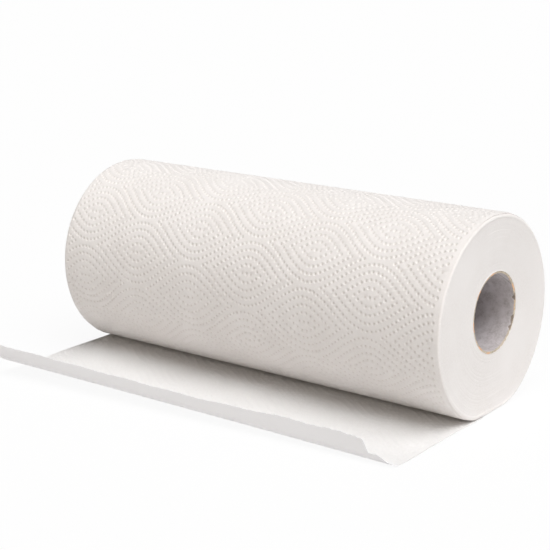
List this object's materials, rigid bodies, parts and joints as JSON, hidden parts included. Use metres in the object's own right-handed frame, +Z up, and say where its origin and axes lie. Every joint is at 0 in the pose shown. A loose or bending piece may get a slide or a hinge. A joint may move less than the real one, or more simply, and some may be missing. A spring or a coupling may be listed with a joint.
{
  "type": "paper towel roll",
  "caption": "Kitchen towel roll on its side: paper wound on a cardboard core, with the first sheet pulled out flat and its front edge curling up.",
  "frame": {"origin": "on the surface the roll lies on, under the middle of the roll's length and its core", "axes": "+X along the core towards the end without the lifted corner, -Y the way the free sheet goes, +Z up"},
  "size_m": [0.26, 0.165, 0.107],
  "materials": {
    "towel_paper": "embossed, matt",
    "core_board": "plain, matt"
  },
  "bodies": {
    "root": {"paper_web": "towel_paper", "core_tube": "core_board"}
  },
  "joints": []
}
